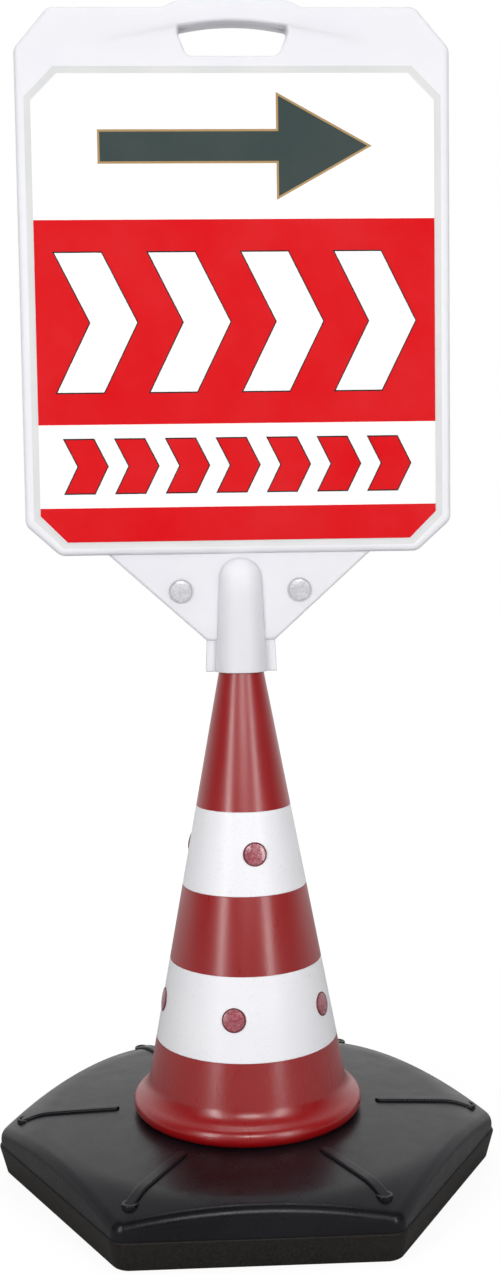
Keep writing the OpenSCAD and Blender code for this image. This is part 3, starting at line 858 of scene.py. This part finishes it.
def cone_places(z, angles):
    """Where the reflectors of a sleeve sit: their axis points out of the cone."""
    for angle in angles:
        turned = Matrix.Rotation(math.radians(angle - 90), 4, "Z")
        tilted = Matrix.Rotation(math.pi / 2 - lean, 4, "Y")
        sunk = Matrix.Translation((0, 0, -reflector_sink))
        yield turned @ Matrix.Translation((cone_r(z), 0, z)) @ tilted @ sunk


def sign_places(facing):
    """Where the reflectors of a sign half sit, on the front or the rear."""
    for side in (-1, 1):
        spot = Matrix.Translation((side * sign_reflector_x, -sign_reflector_y, sign_reflector_z))
        yield facing @ spot @ Matrix.Rotation(math.pi / 2, 4, "X")


def make_turned_set(name, profile, places, finish, body, slot, node):
    """One piece of several equal turned forms, each at its place."""
    bm = bmesh.new()
    for place in places:
        bmesh.ops.transform(bm, matrix=place, verts=turn(bm, profile, reflector_steps))
    finish_piece(bm, name, [finish], body, slot, [node])


def make_cups(name, *rest):
    """Cups of reflectors with a round rim."""
    rim = cup_wall / 2
    lens_r = reflector_r - cup_wall
    profile = [(0, 0), (reflector_r, 0), *arc((reflector_r - rim, cup_h - rim), rim, 0, 180, 8),
               (lens_r, cup_floor), (0, cup_floor)]
    make_turned_set(name, profile, *rest)


def make_lenses(name, *rest):
    """Slightly crowned lenses in the cups."""
    lens_r = reflector_r - cup_wall - lens_gap
    ball_r = (lens_r**2 + lens_rise**2) / (2 * lens_rise)
    top = cup_h + lens_rise
    reach = math.degrees(math.asin(lens_r / ball_r))
    profile = [(0, cup_floor), (lens_r, cup_floor),
               *arc((0, top - ball_r), ball_r, 90 - reach, 90, 12)]
    make_turned_set(name, profile, *rest)


# Sign


def mirrored(right):
    """Points of a right-hand outline, followed by their mirror images in reverse."""
    return right + [(-x, z) for x, z in reversed(right)]


def octagon(half_w, low, high, cut_w, cut_low, cut_high):
    """(across, up) points of a rectangle with cut corners, from its lower edge round to the left."""
    return mirrored([(half_w - cut_w, low), (half_w, low + cut_low),
                     (half_w, high - cut_high), (half_w - cut_w, high)])


def handle_points():
    """(across, up) points of the raised handle: hollow feet, round ends and a crowned top."""
    end_z = sign_top - handle_crown - handle_end_r
    end_x = handle_half_w - math.sqrt(handle_end_r**2 - (panel_top - end_z) ** 2)
    foot_z = panel_top + handle_fillet_r
    foot_x = end_x + math.sqrt((handle_end_r + handle_fillet_r) ** 2 - (foot_z - end_z) ** 2)
    meet = math.degrees(math.atan2(foot_z - end_z, foot_x - end_x))
    tilt = math.degrees(math.atan(handle_crown / end_x))
    right = [*arc((foot_x, foot_z), handle_fillet_r, 270, 180 + meet, 5),
             *arc((end_x, end_z), handle_end_r, meet, 90 - tilt, 8)[1:],
             *arc((0, sign_top - handle_end_r), handle_end_r, 90 - tilt, 90, 2)]
    return right + [(-x, z) for x, z in reversed(right[:-1])]


def panel_outline(bm, y):
    """Face of the panel's outline with its round corners and the raised handle."""
    points = octagon(panel_half_w, panel_low, panel_top, panel_cut_w, panel_cut_low, panel_cut_top)
    points[4:4] = handle_points()
    face = flat_face(bm, points, y)
    corners = [v for v in face.verts if abs(v.co.x) > handle_half_w + handle_end_r]
    round_corners(bm, corners, panel_corner_r)
    return newest_face(bm, y)


def slot_face(bm, y):
    """Face of the hand slot at its flared rim, with a crowned top."""
    low = slot_low - slot_rim
    half_low = slot_half_low + slot_rim
    radius = slot_crown_r + slot_rim
    reach = math.degrees(math.asin((slot_half_top + slot_rim) / radius))
    crown = arc((0, slot_top + slot_rim - radius), radius, 90 - reach, 90 + reach, 16)
    face = flat_face(bm, [(-half_low, low), (half_low, low), *crown], y)
    corners = [v for v in face.verts if v.co.z == low or abs(v.co.x) > slot_half_top]
    round_corners(bm, corners, slot_corner_r + slot_rim)
    return newest_face(bm, y)


def flare_slot(bm, face, steps=5):
    """Draws the slot's face in along a quarter circle that starts flush with the front."""
    for a, b in quarter_steps(steps):
        bmesh.ops.inset_region(bm, faces=[face], thickness=slot_rim * (math.sin(b) - math.sin(a)),
                               depth=-slot_rim * (math.cos(a) - math.cos(b)),
                               use_even_offset=True, use_boundary=True)


def add_panel(bm):
    """Panel half with its round edge, flared hand slot and bevelled window."""
    front_y = -panel_half_t
    back = panel_outline(bm, -seam_w)
    walls = push(bm, list(back.edges), (0, front_y + panel_edge_r + seam_w, 0))
    face = front_cap(bm, walls)
    round_over(bm, face, panel_edge_r)
    bmesh.ops.delete(bm, geom=[face], context="FACES_ONLY")
    back.normal_update()
    if back.normal.y < 0:
        back.normal_flip()
    inset(bm, back, seam_w, seam_w)
    bmesh.ops.delete(bm, geom=[back], context="FACES_ONLY")

    slot = slot_face(bm, front_y)
    flare_slot(bm, slot)
    slot_edges = list(slot.edges)
    bmesh.ops.delete(bm, geom=[slot], context="FACES_ONLY")
    push(bm, slot_edges, (0, panel_half_t - slot_rim, 0))

    grow = window_bevel
    cut = window_cut + grow * math.tan(math.pi / 8)
    points = octagon(poster_high.x + grow, poster_low.z - grow, poster_high.z + grow, cut, cut, cut)
    window = flat_face(bm, points, front_y)
    bevel = bmesh.ops.inset_region(bm, faces=[window], thickness=window_bevel, depth=-window_depth,
                                   use_even_offset=True, use_boundary=True)["faces"]
    # The bevel's strips take the pale grey painted as the shade of this recess.
    for strip in bevel:
        strip.material_index = 1
    for y in (front_y, 0):
        bmesh.ops.triangle_fill(bm, use_beauty=True, use_dissolve=False, edges=open_edges(bm, y),
                                normal=(0, -1, 0))


def add_slab(bm, points, thickness, edge_r):
    """Flat solid from the joint plane to the front with a round front edge."""
    back = flat_face(bm, points, 0)
    walls = push(bm, list(back.edges), (0, edge_r - thickness, 0))
    round_over(bm, front_cap(bm, walls), edge_r)


def add_gusset(bm):
    """Web from the socket up to the panel, open at the bore, with the fins at the socket's mouth."""
    others = set(bm.faces)
    half = [(gusset_foot_half_w, gusset_foot_z), (gusset_half_w, panel_low),
            (gusset_half_w, panel_low + gusset_lap)]
    add_slab(bm, mirrored(half), gusset_half_t, gusset_edge_r)
    bore_top = socket_ceiling_z + shell_wall / 2
    bore_side = socket_r(bore_top) - shell_wall / 2
    cuts = (((-bore_side, 0, 0), (1, 0, 0)), ((bore_side, 0, 0), (1, 0, 0)),
            ((0, 0, bore_top), (0, 0, 1)))
    for place, across in cuts:
        web = [f for f in bm.faces if f not in others]
        rest = {e for f in web for e in f.edges} | {v for f in web for v in f.verts}
        bmesh.ops.bisect_plane(bm, geom=web + list(rest), plane_co=place, plane_no=across)
    middles = [(f, f.calc_center_median()) for f in bm.faces if f not in others]
    bore = [f for f, middle in middles if abs(middle.x) < bore_side and middle.z < bore_top]
    bmesh.ops.delete(bm, geom=bore, context="FACES")
    fin_top = gusset_foot_z + gusset_lap
    fin_in = socket_r(gusset_foot_z) - shell_wall / 2
    fin = [(socket_mouth_r - fin_lap, mouth_z), (fin_half_w, mouth_z),
           (gusset_foot_half_w, fin_top), (fin_in, fin_top)]
    for side in (-1, 1):
        add_slab(bm, [(side * x, z) for x, z in fin], fin_half_t, fin_edge_r)


def add_socket(bm):
    """Half of the tapered socket tube with its round end, its bore and its half of the key."""
    lip = socket_lip_r
    bore_top_r = socket_r(socket_ceiling_z) - shell_wall
    profile = [(0, socket_ceiling_z), (bore_top_r, socket_ceiling_z),
               *arc((socket_mouth_r - shell_wall + lip, mouth_z + lip), lip, 180, 270, 3),
               *arc((socket_mouth_r - lip, mouth_z + lip), lip, -90, 0, 3),
               *arc((0, socket_top_z), socket_top_r, 0, 90, 12)]
    half = turn(bm, profile, 48, -math.pi)
    rims = [e for e in {e for v in half for e in v.link_edges} if e.is_boundary]
    bmesh.ops.holes_fill(bm, edges=rims, sides=0)
    key = bmesh.ops.create_cube(bm, size=1)["verts"]
    bmesh.ops.scale(bm, vec=(2 * bore_top_r, key_half_t, key_h), verts=key)
    bmesh.ops.translate(bm, verts=key, vec=(0, -key_half_t / 2, socket_ceiling_z - key_h / 2))


def make_sign_half(name, node, facing):
    """Half of the sign, made as the front one and turned to its side."""
    bm = bmesh.new()
    add_panel(bm)
    add_gusset(bm)
    add_socket(bm)
    bmesh.ops.transform(bm, matrix=facing, verts=bm.verts)
    finish_piece(bm, name, [sign_white, bevel_shade_grey], "sign", "sign_plastic", [node])


def make_poster(name, node, facing):
    """Printed sheet in the window with a soft edge."""
    points = octagon(poster_high.x - poster_fit, poster_low.z + poster_fit,
                     poster_high.z - poster_fit, window_cut, window_cut, window_cut)
    bm = bmesh.new()
    back = flat_face(bm, points, poster_high.y)
    thin = poster_low.y - poster_high.y + poster_edge_r
    walls = push(bm, list(back.edges), (0, thin, 0))
    round_over(bm, front_cap(bm, walls), poster_edge_r, steps=3)
    bmesh.ops.transform(bm, matrix=facing, verts=bm.verts)
    finish_piece(bm, name, [print_sheet], "sign", "poster_print", [node])


def dress(node, finish):
    """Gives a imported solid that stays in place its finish."""
    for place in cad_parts[node].material_slots:
        place.material = finish


front = Matrix.Identity(4)
rear = Matrix.Rotation(math.pi, 4, "Z")

make_tray()
make_cover()
make_ribs()
make_bosses()
make_cover_screws()
make_cone()
make_sleeve("sleeve_lower", "lower_sleeve", lower_low.z, lower_high.z)
make_sleeve("sleeve_upper", "upper_sleeve", upper_low.z, upper_high.z)
lower_mid = (lower_low.z + lower_high.z) / 2
upper_mid = (upper_low.z + upper_high.z) / 2
for label, mid, angles in (("lower", lower_mid, lower_angles), ("upper", upper_mid, upper_angles)):
    make_cups(f"{label}_cups", cone_places(mid, angles), cup_red, "base", "cup_red",
              f"{label}_reflector_cups")
    make_lenses(f"{label}_lenses", cone_places(mid, angles), lens_red, "base", "lens_red",
                f"{label}_reflector_lenses")
for label, facing in (("front", front), ("rear", rear)):
    make_sign_half(f"sign_{label}", f"sign_{label}_shell", facing)
    make_poster(f"poster_{label}", f"{label}_poster", facing)
    make_cups(f"{label}_cups", sign_places(facing), cup_grey, "sign", "cup_grey",
              f"{label}_reflector_cups")
    make_lenses(f"{label}_lenses", sign_places(facing), lens_grey, "sign", "lens_grey",
                f"{label}_reflector_lenses")
dress("ballast_block", cast)
dress("cone_screws", steel)
dress("shell_screws", steel)
dress("swivel_plug", sign_white)


# Floor, light and camera


def camera_or(nodes, value):
    """One for what the camera sees, and a smaller value for the rest."""
    return nodes.calc("MAXIMUM", nodes.add("LightPath", {}).outputs["Is Camera Ray"], value)


def seen_share(nodes, share, rest):
    """One value for what the camera, gloss and glass see, and another for what lights."""
    path = nodes.add("LightPath", {}).outputs
    seen = path["Is Camera Ray"]
    for ray in ("Is Glossy Ray", "Is Transmission Ray"):
        seen = nodes.calc("MAXIMUM", seen, path[ray])
    return nodes.spread(seen, 0.0, 1.0, rest, share)


def floor_white():
    """White that keeps the shadows, and that gloss sees go dull close to the object."""
    paint = bpy.data.materials.new("floor_white")
    paint.use_nodes = True
    paint.node_tree.nodes.clear()
    nodes = Nodes(paint.node_tree)
    place = nodes.add("TexCoord", {}).outputs["Object"]
    reach = nodes.add("VectorMath", {0: place}, operation="LENGTH").outputs["Value"]
    clear = nodes.spread(reach, floor_dull_start, floor_dull_end)
    share = nodes.calc("MULTIPLY", camera_or(nodes, clear), floor_glow_share)
    strength = nodes.spread(reach, floor_glow_start, floor_glow_end,
                            floor_glow_near, floor_glow_far)
    matt = nodes.add("BsdfDiffuse", {"Color": floor_grey}).outputs["BSDF"]
    glow = nodes.add("Emission", {"Color": (1, 1, 1), "Strength": strength}).outputs["Emission"]
    mix = nodes.add("MixShader", {"Fac": seen_share(nodes, share, 0.0), 1: matt, 2: glow})
    nodes.add("OutputMaterial", {"Surface": mix.outputs["Shader"]})
    return paint


def make_floor():
    """Wide flat floor of the studio."""
    mesh = bpy.data.meshes.new("floor")
    bm = bmesh.new()
    bmesh.ops.create_grid(bm, x_segments=1, y_segments=1, size=floor_half_w)
    bm.to_mesh(mesh)
    bm.free()
    mesh.materials.append(floor_white())
    floor = bpy.data.objects.new("floor", mesh)
    bpy.context.scene.collection.objects.link(floor)


def make_world():
    """White behind the object and a dimmer room in front of it, which only gloss and glass see."""
    world = bpy.data.worlds.new("studio")
    bpy.context.scene.world = world
    world.use_nodes = True
    nodes = Nodes(world.node_tree)
    direction = nodes.add("TexCoord", {}).outputs["Generated"]
    behind = nodes.add("SeparateXYZ", {"Vector": direction}).outputs["Y"]
    room = nodes.spread(behind, room_turn_low, room_turn_high, room_front, room_behind)
    sky = world.node_tree.nodes["Background"]
    nodes.join((1, 1, 1), sky.inputs["Color"])
    nodes.join(seen_share(nodes, camera_or(nodes, room), room_light), sky.inputs["Strength"])


def make_lamp(name, place, target, size, power, shows_in_gloss=True):
    """Soft rectangular lamp that faces its target."""
    lamp = bpy.data.lights.new(name, "AREA")
    lamp.shape = "RECTANGLE"
    lamp.size, lamp.size_y = size
    lamp.energy = power
    lit = bpy.data.objects.new(name, lamp)
    bpy.context.scene.collection.objects.link(lit)
    lit.location = place
    lit.visible_glossy = shows_in_gloss
    lit.rotation_mode = "QUATERNION"
    lit.rotation_quaternion = (Vector(target) - Vector(place)).to_track_quat("-Z", "Y")


def make_camera():
    """Camera fitted to the photograph's edges."""
    lens = bpy.data.cameras.new("camera")
    lens.lens = camera_lens
    lens.sensor_width = camera_sensor
    camera = bpy.data.objects.new("camera", lens)
    bpy.context.scene.collection.objects.link(camera)
    camera.location = camera_place
    camera.rotation_mode = "QUATERNION"
    look = Vector(camera_look).to_track_quat("-Z", "Y")
    camera.rotation_quaternion = look @ Matrix.Rotation(camera_roll, 3, "Z").to_quaternion()
    bpy.context.scene.camera = camera


make_floor()
make_world()
make_lamp("strip_left", (-1.40, -1.70, 0.95), middle_of_sign, (0.26, 1.5), 16.5)
make_lamp("strip_right", (1.25, -1.80, 0.95), middle_of_sign, (0.24, 1.5), 14.5)
make_lamp("softbox_front", (0.05, -2.00, 1.17), middle_of_sign, (0.8, 0.42), 12)
make_lamp("strip_above", (0, -0.10, 2.3), (0, -0.1, 0), (1.4, 0.14), 5)
make_lamp("fill_rear", (0, 2.40, 1.0), middle_of_sign, (2.4, 1.4), 22, shows_in_gloss=False)
make_camera()
bpy.context.scene.view_settings.view_transform = "Standard"
